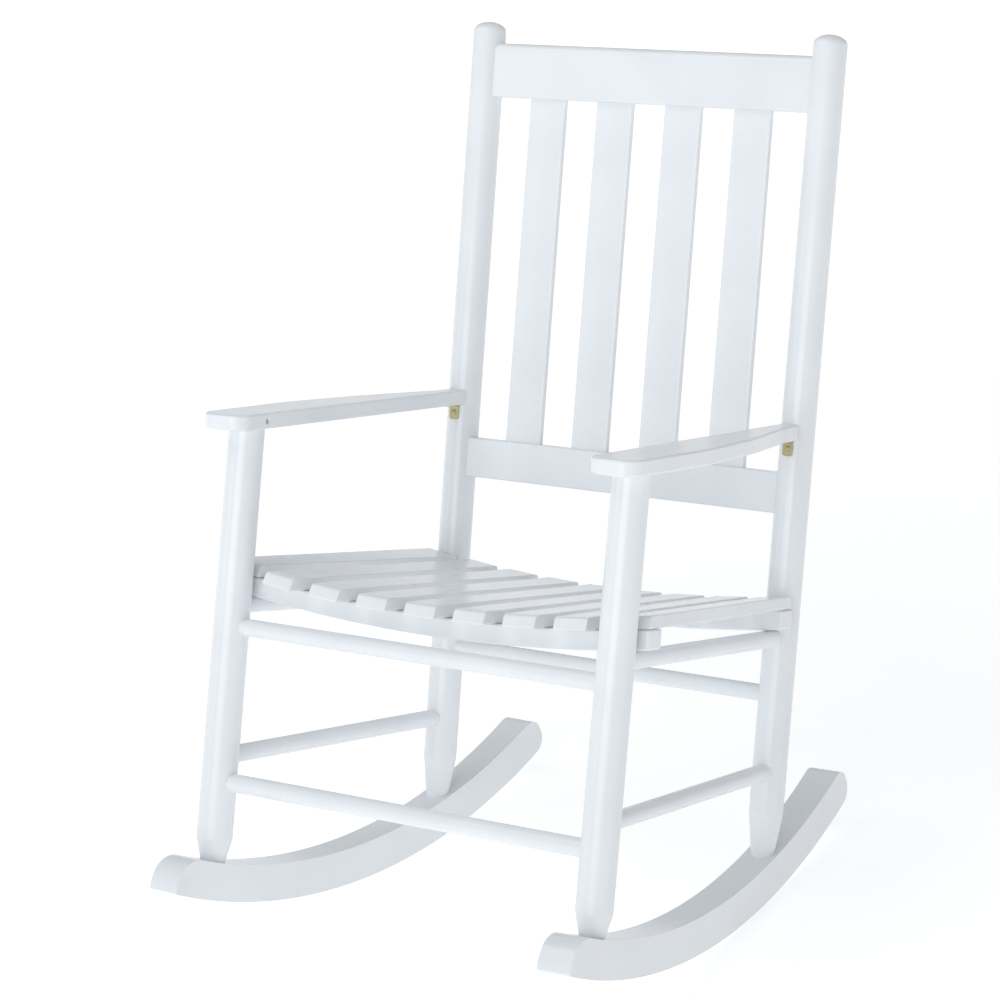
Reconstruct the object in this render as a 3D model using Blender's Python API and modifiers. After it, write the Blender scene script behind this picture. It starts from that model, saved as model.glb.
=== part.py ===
"""Slat-back rocking chair of round posts, boards and dowels, one object for each separate piece.

Metres, +Z up. The chair faces -Y and its left and right sides are mirror images across the YZ plane.
It is drawn with its lower side stretchers level, in the "chair" frame, and is then rolled back as a
whole on its rockers by REST_LEAN. The origin is the middle of the finished chair's box, on the floor.
"""

import math

import bmesh
import bpy
from mathutils import Matrix, Vector

# ---- driving dimensions, in the chair frame ----
REST_LEAN = math.radians(15.05)     # lean at which its weight stands over the rockers' touching point
GAP = 0.0003                       # clearance between pieces that touch

ROCKER_RADIUS = 0.899              # radius of the rolling edge
ROCKER_DEPTH = 0.048               # board depth, from the rolling edge to the top edge
ROCKER_THICKNESS = 0.045
ROCKER_CENTRE_Y = -0.280           # the arc's centre, above the level chair's touching point
ROCKER_NOSE_ANGLE = math.radians(17.3)
ROCKER_TAIL_ANGLE = math.radians(32.6)
NOSE_ROUND = 0.036
TAIL_ROUND = 0.020

FRONT_POST_RADIUS = 0.0229
FRONT_POST_SPREAD = 0.5735         # between the two front posts' axes
FRONT_POST_Y = -0.460              # of the axis at floor level
FRONT_POST_LEAN = math.radians(4.12)
BACK_POST_RADIUS = 0.0221
BACK_POST_SPREAD = 0.512           # between the two back posts' axes at floor level
BACK_POST_SPLAY = math.radians(0.27)
BACK_POST_Y = -0.0110
BACK_POST_LEAN = math.radians(3.14)
BACK_POST_TOP = 1.140
POST_DOME = 0.013                  # height of the back posts' domed tops
FOOT_RADIUS = 0.0156               # where a foot enters its rocker
FRONT_FOOT_TAPER = 0.030
BACK_FOOT_TAPER = 0.052
FOOT_SOCKET = 0.010                # depth of the feet in the rockers

STRETCHER_SOCKET = 0.014           # depth of the stretchers in the posts
FRONT_UPPER_DROP = 0.0431          # of the upper front stretcher's axis below the seat slats
FRONT_UPPER_RADIUS = 0.0112
FRONT_LOWER_HEIGHT = 0.1691
FRONT_LOWER_RADIUS = 0.0118
REAR_UPPER_HEIGHT = 0.2975
REAR_UPPER_RADIUS = 0.0109
SIDE_LOWER_HEIGHT = 0.1998
SIDE_LOWER_RADIUS = 0.0114
SIDE_UPPER_RADIUS = 0.0114

SEAT_HEIGHT = 0.4098               # underside of the middle slat over the front apron
SEAT_PITCH = math.radians(2.45)    # fall of the slats towards the back
SEAT_DISH = 0.22                   # rise of the seat's side-to-side curve, metres per square metre
SLAT_COUNT = 9
SLAT_WIDTH = 0.046
SLAT_THICKNESS = 0.016
OUTER_SLAT_OFFSET = 0.0035         # of the outer slats' middles beyond the posts' axes
SLAT_OVERHANG = 0.0277             # of the inner slats in front of the front apron
SLAT_TAIL = 0.0045                 # of the inner slats behind the rear apron
SLAT_NOSE_SLANT = 0.006            # setback of a slat's top at its front end
APRON_DEPTH = 0.025
APRON_THICKNESS = 0.030
APRON_OVERRUN = 0.0015             # of the aprons beyond the outer slats
SLAT_PITCH_FRONT = (FRONT_POST_SPREAD + 2 * OUTER_SLAT_OFFSET) / (SLAT_COUNT - 1)
SLAT_PITCH_REAR = (BACK_POST_SPREAD + 2 * SEAT_HEIGHT * math.tan(BACK_POST_SPLAY)
                   + 2 * OUTER_SLAT_OFFSET) / (SLAT_COUNT - 1)

TOP_RAIL_LOW, TOP_RAIL_HIGH = 1.0415, 1.1137
BOTTOM_RAIL_LOW, BOTTOM_RAIL_HIGH = 0.5305, 0.5834
RAIL_THICKNESS = 0.024
RAIL_TOP_ROUND = 0.010
RAIL_EDGE_ROUND = 0.003
TENON_THICKNESS = 0.012
TENON_LENGTH = 0.019
TENON_SHOULDER = 0.008             # a tenon is this much lower than its rail, above and below
BACK_SLAT_COUNT = 4
BACK_SLAT_SPACING = 0.205 * BACK_POST_SPREAD
BACK_SLAT_WIDTH = 0.056
BACK_SLAT_THICKNESS = 0.009
BACK_SLAT_MORTISE = 0.010

ARM_HEIGHT = 0.6180                # underside over the front post
ARM_RISE = math.radians(1.2)      # rise towards the back
ARM_THICKNESS = 0.020
ARM_INNER_FRONT = FRONT_POST_SPREAD / 2 - 0.0323      # edges, from the middle of the chair
ARM_OUTER_FRONT = FRONT_POST_SPREAD / 2 + 0.0353
ARM_OUTER_WAIST = FRONT_POST_SPREAD / 2 + 0.0183
ARM_INNER_REAR = BACK_POST_SPREAD / 2 - 0.0105
ARM_OUTER_REAR = BACK_POST_SPREAD / 2 + 0.0160
ARM_FRONT_OVERHANG = 0.056         # in front of the front post's axis
ARM_OUTER_STRAIGHT = 0.120         # straight outer edge, back from the front post's axis
ARM_WAIST_BACK = 0.250             # from the front post's axis to the outer edge's bend
ARM_FRONT_ROUND = 0.024
ARM_EDGE_ROUND = 0.004
POST_TENON_RADIUS = 0.009
POST_TENON_HEIGHT = 0.012

BRACKET_WIDTH = 0.014
BRACKET_LEG = 0.020
BRACKET_SHEET = 0.002

SCREW_SIDES = 12
DOWEL_SIDES = 28
POST_SIDES = 36
COPE_SIDES = 56
EDGE_ROUND = 0.003                 # eased edges of the boards

WHITE_PAINT = (0.86, 0.87, 0.88, 1.0)
BRASS = (0.72, 0.56, 0.30, 1.0)
STEEL = (0.62, 0.62, 0.60, 1.0)


# ---- making and placing objects ----
def make_material(name, colour, roughness, metallic):
    material = bpy.data.materials.new(name)
    material.use_nodes = True
    shader = material.node_tree.nodes["Principled BSDF"]
    shader.inputs["Base Color"].default_value = colour
    shader.inputs["Roughness"].default_value = roughness
    shader.inputs["Metallic"].default_value = metallic
    return material


def add_object(name, data, collection, parent):
    obj = bpy.data.objects.new(name, data)
    collection.objects.link(obj)
    obj.parent = parent
    return obj


def set_axes(obj, origin, x_axis, y_axis):
    """Put obj at origin with its local X and Y along the two given directions."""
    x_axis = Vector(x_axis).normalized()
    z_axis = x_axis.cross(Vector(y_axis)).normalized()
    y_axis = z_axis.cross(x_axis)
    turn = Matrix((x_axis, y_axis, z_axis)).transposed()
    obj.location = origin
    obj.rotation_euler = turn.to_euler()


def aim(obj, start, end):
    """Put obj at start with its local Z pointing at end."""
    obj.location = start
    obj.rotation_euler = (Vector(end) - Vector(start)).to_track_quat("Z", "Y").to_euler()


def smooth(mesh):
    mesh.shade_smooth()
    mesh.set_sharp_from_angle(angle=math.radians(35))


# ---- shapes ----
def arc(radius, start, end, steps):
    """Points of an arc around the origin; angles are from straight down, towards +X."""
    angles = [start + (end - start) * i / steps for i in range(steps + 1)]
    return [(radius * math.sin(a), -radius * math.cos(a)) for a in angles]


def rounded(corners, steps=4):
    """Outline through (x, y, radius) corners, each turned into an arc of its own radius."""
    points = []
    for i, (x, y, radius) in enumerate(corners):
        here = Vector((x, y))
        if radius == 0:
            points.append(here)
            continue
        to_last = (Vector(corners[i - 1][:2]) - here).normalized()
        to_next = (Vector(corners[(i + 1) % len(corners)][:2]) - here).normalized()
        half = to_last.angle(to_next) / 2
        middle = here + (to_last + to_next).normalized() * radius / math.sin(half)
        first = here + to_last * radius / math.tan(half) - middle
        last = here + to_next * radius / math.tan(half) - middle
        sweep = first.angle_signed(last)
        for step in range(steps + 1):
            points.append(middle + Matrix.Rotation(-sweep * step / steps, 2) @ first)
    return points


def rectangle(width, height, top_round, low_round):
    """Corners of an upright rectangle around the origin, for rounded()."""
    w, h = width / 2, height / 2
    return [(-w, -h, low_round), (w, -h, low_round), (w, h, top_round), (-w, h, top_round)]


def board(name, outline, thickness, kit, ease=EDGE_ROUND, parent=None):
    """Flat outline in local XY, extruded to a thickness centred on local Z, with eased edges."""
    flat = bpy.data.curves.new(name + "_outline", "CURVE")
    flat.dimensions = "2D"
    flat.fill_mode = "BOTH"
    flat.extrude = thickness / 2
    spline = flat.splines.new("POLY")
    spline.points.add(len(outline) - 1)
    for point, place in zip(spline.points, outline):
        point.co = (place[0], place[1], 0.0, 1.0)
    spline.use_cyclic_u = True
    guide = add_object(name + "_guide", flat, kit["cutters"], None)
    evaluated = guide.evaluated_get(bpy.context.evaluated_depsgraph_get())
    mesh = bpy.data.meshes.new_from_object(evaluated)
    bpy.data.objects.remove(guide)
    shell = bmesh.new()
    shell.from_mesh(mesh)
    bmesh.ops.remove_doubles(shell, verts=shell.verts, dist=0.00001)
    bmesh.ops.dissolve_limit(shell, angle_limit=math.radians(0.5), verts=shell.verts, edges=shell.edges)
    shell.to_mesh(mesh)
    shell.free()
    obj = add_object(name, mesh, kit["parts"], parent or kit["chair"])
    mesh.materials.append(kit["paint"])
    if ease:
        bevel = obj.modifiers.new("eased_edges", "BEVEL")
        bevel.width = ease
        bevel.segments = 2
        bevel.limit_method = "ANGLE"
        bevel.angle_limit = math.radians(50)
        bevel.use_clamp_overlap = True
    return obj


def turned(name, profile, sides, collection, parent, material):
    """Solid turned around local Z from (radius, height) points that run from its top to its bottom."""
    mesh = bpy.data.meshes.new(name)
    lathe = bmesh.new()
    verts = [lathe.verts.new((radius, 0.0, height)) for radius, height in profile]
    for upper, lower in zip(verts, verts[1:]):
        lathe.edges.new((upper, lower))
    lathe.to_mesh(mesh)
    lathe.free()
    mesh.materials.append(material)
    obj = add_object(name, mesh, collection, parent)
    screw = obj.modifiers.new("turning", "SCREW")
    screw.axis = "Z"
    screw.steps = sides
    screw.render_steps = sides
    screw.use_merge_vertices = True
    screw.merge_threshold = 0.0001
    screw.use_smooth_shade = False
    return obj


def dome_profile(radius, height, base, steps=5):
    """Quarter ellipse from the axis down to the side, for the top of a turned solid."""
    angles = [math.pi / 2 * i / steps for i in range(steps + 1)]
    return [(radius * math.sin(a), base + height * math.cos(a)) for a in angles]


# ---- cutting and joining ----
def as_cutter(obj, kit):
    obj.hide_render = True
    obj.display_type = "WIRE"
    for collection in list(obj.users_collection):
        collection.objects.unlink(obj)
    kit["cutters"].objects.link(obj)
    return obj


def boolean(target, tool, operation):
    cut = target.modifiers.new(tool.name, "BOOLEAN")
    cut.operation = operation
    cut.solver = "EXACT"
    cut.object = tool


def cylinder_cutter(name, start, end, radius, sides, kit, parent=None):
    length = (Vector(end) - Vector(start)).length
    profile = [(0.0, length), (radius, length), (radius, 0.0), (0.0, 0.0)]
    cutter = turned(name, profile, sides, kit["cutters"], parent or kit["chair"], kit["paint"])
    aim(cutter, start, end)
    return as_cutter(cutter, kit)


def box_tool(name, centre, size, kit, parent):
    """Rectangular block used to cut a mortise or to add a tenon."""
    mesh = bpy.data.meshes.new(name)
    block = bmesh.new()
    bmesh.ops.create_cube(block, size=1.0)
    bmesh.ops.scale(block, vec=size, verts=block.verts)
    block.to_mesh(mesh)
    block.free()
    tool = add_object(name, mesh, kit["cutters"], parent)
    tool.location = centre
    return as_cutter(tool, kit)


def fasten(name, head, tip, shank, head_radius, head_height, pieces, kit, material="brass", parent=None):
    """Flat-headed screw from head to tip, with its clearance hole in every piece it passes."""
    parent = parent or kit["chair"]
    length = (Vector(tip) - Vector(head)).length
    point = 2 * shank
    profile = [(0.0, length), (shank, length - point), (shank, head_height), (head_radius, head_height),
               (head_radius, 0.0), (0.0, 0.0)]
    screw = turned(name, profile, SCREW_SIDES, kit["parts"], parent, kit[material])
    aim(screw, head, tip)
    smooth(screw.data)
    hole = [(0.0, length + GAP), (shank + GAP, length + GAP), (shank + GAP, head_height + GAP),
            (head_radius + GAP, head_height + GAP), (head_radius + GAP, -0.006), (0.0, -0.006)]
    cutter = turned(name + "_hole", hole, SCREW_SIDES, kit["cutters"], parent, kit["paint"])
    aim(cutter, head, tip)
    as_cutter(cutter, kit)
    for piece in pieces:
        boolean(piece, cutter, "DIFFERENCE")
    return screw


# ---- places that several pieces share ----
def front_axis(side, height):
    """Point on a front post's axis at a height in the chair frame."""
    return Vector((side * FRONT_POST_SPREAD / 2, FRONT_POST_Y + height * math.tan(FRONT_POST_LEAN), height))


def back_axis(side, height):
    reach = BACK_POST_SPREAD / 2 + height * math.tan(BACK_POST_SPLAY)
    return Vector((side * reach, BACK_POST_Y + height * math.tan(BACK_POST_LEAN), height))


def front_shoulder(side):
    """Middle of a front post's flat top, let into the arm just far enough to leave no gap around it."""
    let_in = FRONT_POST_RADIUS * math.tan(FRONT_POST_LEAN + ARM_RISE)
    return front_axis(side, ARM_HEIGHT + let_in)


def rocker_top_height(y):
    """Height of the rockers' top edge at a place along the chair."""
    radius = ROCKER_RADIUS - ROCKER_DEPTH
    return ROCKER_RADIUS - math.sqrt(radius ** 2 - (y - ROCKER_CENTRE_Y) ** 2)


def foot_height(axis, side):
    """Height at which a post's axis meets the top edge of its rocker."""
    height = 0.08
    for _ in range(8):
        height = rocker_top_height(axis(side, height).y)
    return height


def slat_x(index, pitch):
    return (index - (SLAT_COUNT - 1) / 2) * pitch


def apron_half_length(pitch):
    return slat_x(SLAT_COUNT - 1, pitch) + SLAT_WIDTH / 2 + APRON_OVERRUN


def seat_origin():
    """Middle of the front apron's top, which stands against the backs of the front posts."""
    post = front_axis(1, SEAT_HEIGHT + 0.02)
    return Vector((0.0, post.y + FRONT_POST_RADIUS + GAP + APRON_THICKNESS / 2, SEAT_HEIGHT))


def seat_point(x, along, above):
    """Chair-frame point from seat-frame values."""
    turn = Matrix.Rotation(-SEAT_PITCH, 3, "X")
    return seat_origin() + turn @ Vector((x, along, above))


def seat_depth():
    """From the front apron's middle to the rear apron's, whose back stands against the back posts."""
    depth = 0.35
    for _ in range(4):
        heel = seat_point(0, depth + APRON_THICKNESS / 2, -APRON_DEPTH)
        post_front = back_axis(1, heel.z).y - BACK_POST_RADIUS / math.cos(BACK_POST_LEAN)
        depth += post_front - GAP - heel.y
    return depth


def dish_at(pitch):
    """The dish over an apron, such that each straight slat lies flat on both aprons."""
    return SEAT_DISH * SLAT_PITCH_FRONT / pitch


def side_upper_height(axis, pitch, along):
    """Height of an upper side stretcher, at a post, that carries the apron above it."""
    x = abs(axis(1, SEAT_HEIGHT).x)
    bank = math.atan(2 * dish_at(pitch) * x)
    under = seat_point(x, along, dish_at(pitch) * x ** 2 - APRON_DEPTH)
    return under.z - (SIDE_UPPER_RADIUS + 2 * GAP) / math.cos(bank)


# ---- pieces ----
def make_rocker(side, name, kit):
    """Curved board on edge, under the front and back post of one side."""
    front = front_axis(side, foot_height(front_axis, side))
    back = back_axis(side, foot_height(back_axis, side))
    heading = Vector((back.x - front.x, back.y - front.y, 0.0)).normalized()
    origin = front + heading * (ROCKER_CENTRE_Y - front.y) / heading.y
    origin.z = ROCKER_RADIUS
    low = arc(ROCKER_RADIUS, -ROCKER_NOSE_ANGLE, ROCKER_TAIL_ANGLE, 24)
    high = arc(ROCKER_RADIUS - ROCKER_DEPTH, ROCKER_TAIL_ANGLE, -ROCKER_NOSE_ANGLE, 20)
    corners = [(x, y, 0.0) for x, y in low + high]
    corners[0] = (*low[0], 0.003)
    corners[len(low) - 1] = (*low[-1], TAIL_ROUND)
    corners[len(low)] = (*high[0], TAIL_ROUND)
    corners[-1] = (*high[-1], NOSE_ROUND)
    rocker = board(name, rounded(corners), ROCKER_THICKNESS, kit)
    set_axes(rocker, origin, heading, (0, 0, 1))
    return rocker


def make_post(name, base, top, radius, crown, taper, rocker, kit):
    """Round post with a tapered foot in its rocker; crown is the profile of its upper end."""
    length = (Vector(top) - Vector(base)).length
    shoulder = FOOT_SOCKET + taper
    foot = [(radius, shoulder), (FOOT_RADIUS, FOOT_SOCKET), (FOOT_RADIUS, 0.0), (0.0, 0.0)]
    post = turned(name, crown(length) + foot, POST_SIDES, kit["parts"], kit["chair"], kit["paint"])
    aim(post, base, top)
    hole = [(0.0, shoulder), (radius + GAP, shoulder), (FOOT_RADIUS + GAP, FOOT_SOCKET),
            (FOOT_RADIUS + GAP, -GAP), (0.0, -GAP)]
    socket = turned(name + "_socket", hole, POST_SIDES, kit["cutters"], kit["chair"], kit["paint"])
    aim(socket, base, top)
    boolean(rocker, as_cutter(socket, kit), "DIFFERENCE")
    return post


def make_front_post(side, name, rocker, kit):
    foot = front_axis(side, foot_height(front_axis, side))
    up = (front_axis(side, 1.0) - front_axis(side, 0.0)).normalized()
    top = front_shoulder(side) + up * POST_TENON_HEIGHT

    def crown(length):
        shoulder = length - POST_TENON_HEIGHT
        return [(0.0, length), (POST_TENON_RADIUS, length), (POST_TENON_RADIUS, shoulder),
                (FRONT_POST_RADIUS, shoulder)]

    base = foot - up * FOOT_SOCKET
    return make_post(name, base, top, FRONT_POST_RADIUS, crown, FRONT_FOOT_TAPER, rocker, kit)


def make_back_post(side, name, rocker, kit):
    foot = back_axis(side, foot_height(back_axis, side))
    top = back_axis(side, BACK_POST_TOP)
    up = (top - foot).normalized()

    def crown(length):
        return dome_profile(BACK_POST_RADIUS, POST_DOME, length - POST_DOME)

    base = foot - up * FOOT_SOCKET
    return make_post(name, base, top, BACK_POST_RADIUS, crown, BACK_FOOT_TAPER, rocker, kit)


def make_stretcher(name, start, end, radius, posts, post_radii, kit):
    """Dowel between two posts' axes, with both ends in sockets."""
    start, end = Vector(start), Vector(end)
    along = (end - start).normalized()
    first = start + along * (post_radii[0] - STRETCHER_SOCKET)
    last = end - along * (post_radii[1] - STRETCHER_SOCKET)
    length = (last - first).length
    profile = [(0.0, length), (radius, length), (radius, 0.0), (0.0, 0.0)]
    stretcher = turned(name, profile, DOWEL_SIDES, kit["parts"], kit["chair"], kit["paint"])
    aim(stretcher, first, last)
    for post, inner, inward in ((posts[0], first, along), (posts[1], last, -along)):
        cutter = cylinder_cutter(name + "_in_" + post.name, inner - inward * GAP, inner + inward * 0.04,
                                 radius + GAP, DOWEL_SIDES, kit)
        boolean(post, cutter, "DIFFERENCE")
    return stretcher


def make_stretchers(posts, kit):
    front_radii = (FRONT_POST_RADIUS, FRONT_POST_RADIUS)
    side_radii = (FRONT_POST_RADIUS, BACK_POST_RADIUS)
    fronts = (posts["front_left"], posts["front_right"])
    backs = (posts["back_left"], posts["back_right"])
    upper_height = SEAT_HEIGHT - FRONT_UPPER_DROP
    for name, height, radius in (("front_upper_stretcher", upper_height, FRONT_UPPER_RADIUS),
                                 ("front_lower_stretcher", FRONT_LOWER_HEIGHT, FRONT_LOWER_RADIUS)):
        make_stretcher(name, front_axis(-1, height), front_axis(1, height), radius, fronts, front_radii, kit)
    make_stretcher("rear_stretcher", back_axis(-1, REAR_UPPER_HEIGHT), back_axis(1, REAR_UPPER_HEIGHT),
                   REAR_UPPER_RADIUS, backs, (BACK_POST_RADIUS, BACK_POST_RADIUS), kit)
    high_front = side_upper_height(front_axis, SLAT_PITCH_FRONT, 0.0)
    high_back = side_upper_height(back_axis, SLAT_PITCH_REAR, seat_depth())
    uppers = {}
    for side, word in ((-1, "left"), (1, "right")):
        pair = (posts["front_" + word], posts["back_" + word])
        make_stretcher("side_lower_stretcher_" + word, front_axis(side, SIDE_LOWER_HEIGHT),
                       back_axis(side, SIDE_LOWER_HEIGHT), SIDE_LOWER_RADIUS, pair, side_radii, kit)
        slope = (high_back - high_front) / seat_depth()
        front_run = seat_origin().y - front_axis(side, high_front).y
        back_run = back_axis(side, high_back).y - seat_point(0, seat_depth(), 0).y
        start = front_axis(side, high_front - slope * front_run)
        end = back_axis(side, high_back + slope * back_run)
        uppers[side] = make_stretcher("side_upper_stretcher_" + word, start, end, SIDE_UPPER_RADIUS,
                                      pair, side_radii, kit)
    return uppers


def make_apron(name, along, pitch, kit):
    """Board dished from side to side, that the seat slats lie on."""
    dish = dish_at(pitch)
    half = apron_half_length(pitch)
    steps = 20
    reach = [half * (2 * i / steps - 1) for i in range(steps + 1)]
    low = [(x, dish * x * x - APRON_DEPTH) for x in reach]
    high = [(x, dish * x * x) for x in reversed(reach)]
    apron = board(name, low + high, APRON_THICKNESS, kit)
    turn = Matrix.Rotation(-SEAT_PITCH, 3, "X")
    set_axes(apron, seat_point(0, along, 0), (1, 0, 0), turn @ Vector((0, 0, 1)))
    return apron


def make_seat_slat(index, kit):
    """Straight slat from over the front apron to over the rear one, banked with the dish."""
    outer = index in (0, SLAT_COUNT - 1)
    front_x = slat_x(index, SLAT_PITCH_FRONT)
    rear_x = slat_x(index, SLAT_PITCH_REAR)
    start = seat_point(front_x, 0.0, SEAT_DISH * front_x ** 2)
    end = seat_point(rear_x, seat_depth(), dish_at(SLAT_PITCH_REAR) * rear_x ** 2)
    nose = -APRON_THICKNESS / 2 - SLAT_OVERHANG
    tail = seat_depth() + APRON_THICKNESS / 2 + SLAT_TAIL
    if outer:
        nose = GAP - APRON_THICKNESS / 2
        back_face = back_axis(1, SEAT_HEIGHT).y - BACK_POST_RADIUS
        tail = (back_face - 4 * GAP - seat_origin().y) / math.cos(SEAT_PITCH)
    outline = [(nose, 0.0), (tail, 0.0), (tail, SLAT_THICKNESS), (nose + SLAT_NOSE_SLANT, SLAT_THICKNESS)]
    slat = board(f"seat_slat_{index + 1}", outline, SLAT_WIDTH, kit, ease=0.0035)
    bank = math.atan(2 * SEAT_DISH * front_x)
    turn = Matrix.Rotation(-SEAT_PITCH, 3, "X") @ Matrix.Rotation(-bank, 3, "Y")
    up = turn @ Vector((0, 0, 1))
    lift = GAP + SEAT_DISH * (SLAT_WIDTH / 2) ** 2
    set_axes(slat, start + up * lift, end - start, up)
    return slat


def make_rail(name, low, high, edge_round, posts, kit):
    """Board across the back, coped to the round posts and tenoned into them."""
    back = kit["back"]
    middle = (low + high) / 2
    reach = abs(back_axis(1, middle).x)
    height = high - low
    body = 2 * (reach - BACK_POST_RADIUS + 0.005)
    section = rounded(rectangle(RAIL_THICKNESS, height, edge_round, RAIL_EDGE_ROUND))
    rail = board(name, section, body, kit, ease=0, parent=back)
    set_axes(rail, (0, 0, middle), (0, 1, 0), (0, 0, 1))
    tenon_height = height - 2 * TENON_SHOULDER
    tenon_end = reach - BACK_POST_RADIUS + TENON_LENGTH
    for side, word in ((-1, "left"), (1, "right")):
        post = posts["back_" + word]
        cope = cylinder_cutter(f"{name}_cope_{word}", back_axis(side, low - 0.05),
                               back_axis(side, high + 0.05), BACK_POST_RADIUS + GAP, COPE_SIDES, kit)
        boolean(rail, cope, "DIFFERENCE")
        mortise = box_tool(f"{name}_mortise_{word}", (side * (tenon_end - 0.03 + GAP), 0, middle),
                           (0.06, TENON_THICKNESS + 2 * GAP, tenon_height + 2 * GAP), kit, back)
        boolean(post, mortise, "DIFFERENCE")
    tenon = box_tool(name + "_tenon", (0, 0, middle), (2 * tenon_end, TENON_THICKNESS, tenon_height), kit,
                     back)
    boolean(rail, tenon, "UNION")
    for side, word in ((-1, "left"), (1, "right")):
        axis = back_axis(side, middle)
        outward = Vector((side, -1, 0)).normalized()
        head = Vector((axis.x, 0, middle)) + outward * (BACK_POST_RADIUS - 0.0008)
        tip = Vector((axis.x, 0, middle)) - outward * 0.009
        fasten(f"{name}_pin_{word}", head, tip, 0.0012, 0.0022, 0.0012, (posts["back_" + word], rail), kit,
               material="steel", parent=back)
    return rail


def make_back_slats(rails, kit):
    """Flat upright slats, each in a mortise of both rails."""
    low = BOTTOM_RAIL_HIGH - BACK_SLAT_MORTISE
    high = TOP_RAIL_LOW + BACK_SLAT_MORTISE
    section = rounded(rectangle(BACK_SLAT_WIDTH, BACK_SLAT_THICKNESS, 0.003, 0.003), steps=3)
    for index in range(BACK_SLAT_COUNT):
        x = (index - (BACK_SLAT_COUNT - 1) / 2) * BACK_SLAT_SPACING
        name = f"back_slat_{index + 1}"
        slat = board(name, section, high - low, kit, ease=0, parent=kit["back"])
        slat.location = (x, 0, (low + high) / 2)
        for rail, end, inward, word in ((rails[0], low, 1, "low"), (rails[1], high, -1, "high")):
            depth = 2 * BACK_SLAT_MORTISE
            room = (BACK_SLAT_WIDTH + 2 * GAP, BACK_SLAT_THICKNESS + 2 * GAP, depth)
            mortise = box_tool(f"{name}_mortise_{word}", (x, 0, end + inward * (depth / 2 - GAP)), room,
                               kit, kit["back"])
            boolean(rail, mortise, "DIFFERENCE")


def arm_point(x, y, above=0.0):
    """Chair-frame point on an arm, above its underside."""
    start = front_axis(1, ARM_HEIGHT).y
    return Vector((x, y, ARM_HEIGHT + (y - start) * math.tan(ARM_RISE) + above))


def make_arm(side, word, posts, kit):
    """Flat arm, wide and round in front, that narrows to the back post's front."""
    front_post, back_post = posts["front_" + word], posts["back_" + word]
    pivot = front_axis(side, ARM_HEIGHT)
    meeting = back_axis(side, ARM_HEIGHT + ARM_THICKNESS / 2)
    tail = meeting.y - BACK_POST_RADIUS + 0.009 - pivot.y
    corners = [(ARM_INNER_FRONT, -ARM_FRONT_OVERHANG, ARM_FRONT_ROUND),
               (ARM_OUTER_FRONT, -ARM_FRONT_OVERHANG, ARM_FRONT_ROUND),
               (ARM_OUTER_FRONT, ARM_OUTER_STRAIGHT, 0.35),
               (ARM_OUTER_WAIST, ARM_WAIST_BACK, 0.25),
               (ARM_OUTER_REAR, tail - 0.035, 0.05),
               (ARM_OUTER_REAR, tail, 0.0),
               (ARM_INNER_REAR, tail, 0.0)]
    corners = [(x * side, y, radius) for x, y, radius in corners]
    if side < 0:
        corners.reverse()
    arm = board("arm_" + word, rounded(corners), ARM_THICKNESS, kit, ease=ARM_EDGE_ROUND)
    arm.location = arm_point(0, pivot.y, ARM_THICKNESS / 2)
    arm.rotation_euler = (ARM_RISE, 0, 0)
    cope = cylinder_cutter(f"arm_{word}_cope", back_axis(side, ARM_HEIGHT - 0.1),
                           back_axis(side, ARM_HEIGHT + 0.1), BACK_POST_RADIUS + GAP, COPE_SIDES, kit)
    boolean(arm, cope, "DIFFERENCE")
    up = (front_axis(side, 1.0) - front_axis(side, 0.0)).normalized()
    deep = POST_TENON_HEIGHT + GAP
    wide = FRONT_POST_RADIUS + GAP
    hole = [(0.0, deep), (POST_TENON_RADIUS + GAP, deep), (POST_TENON_RADIUS + GAP, GAP), (wide, GAP),
            (wide, -0.02), (0.0, -0.02)]
    seat = turned(f"arm_{word}_post_seat", hole, POST_SIDES, kit["cutters"], kit["chair"], kit["paint"])
    aim(seat, front_shoulder(side), front_shoulder(side) + up)
    boolean(arm, as_cutter(seat, kit), "DIFFERENCE")
    height = ARM_HEIGHT + ARM_THICKNESS / 2
    inner = side * (ARM_INNER_FRONT + 0.0002)
    fasten(f"arm_screw_{word}", (inner, pivot.y, height), (inner + side * 0.030, pivot.y, height), 0.0018,
           0.0034, 0.0018, (arm, front_post), kit, material="steel")
    make_bracket(side, word, arm, back_post, kit)
    return arm


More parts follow.
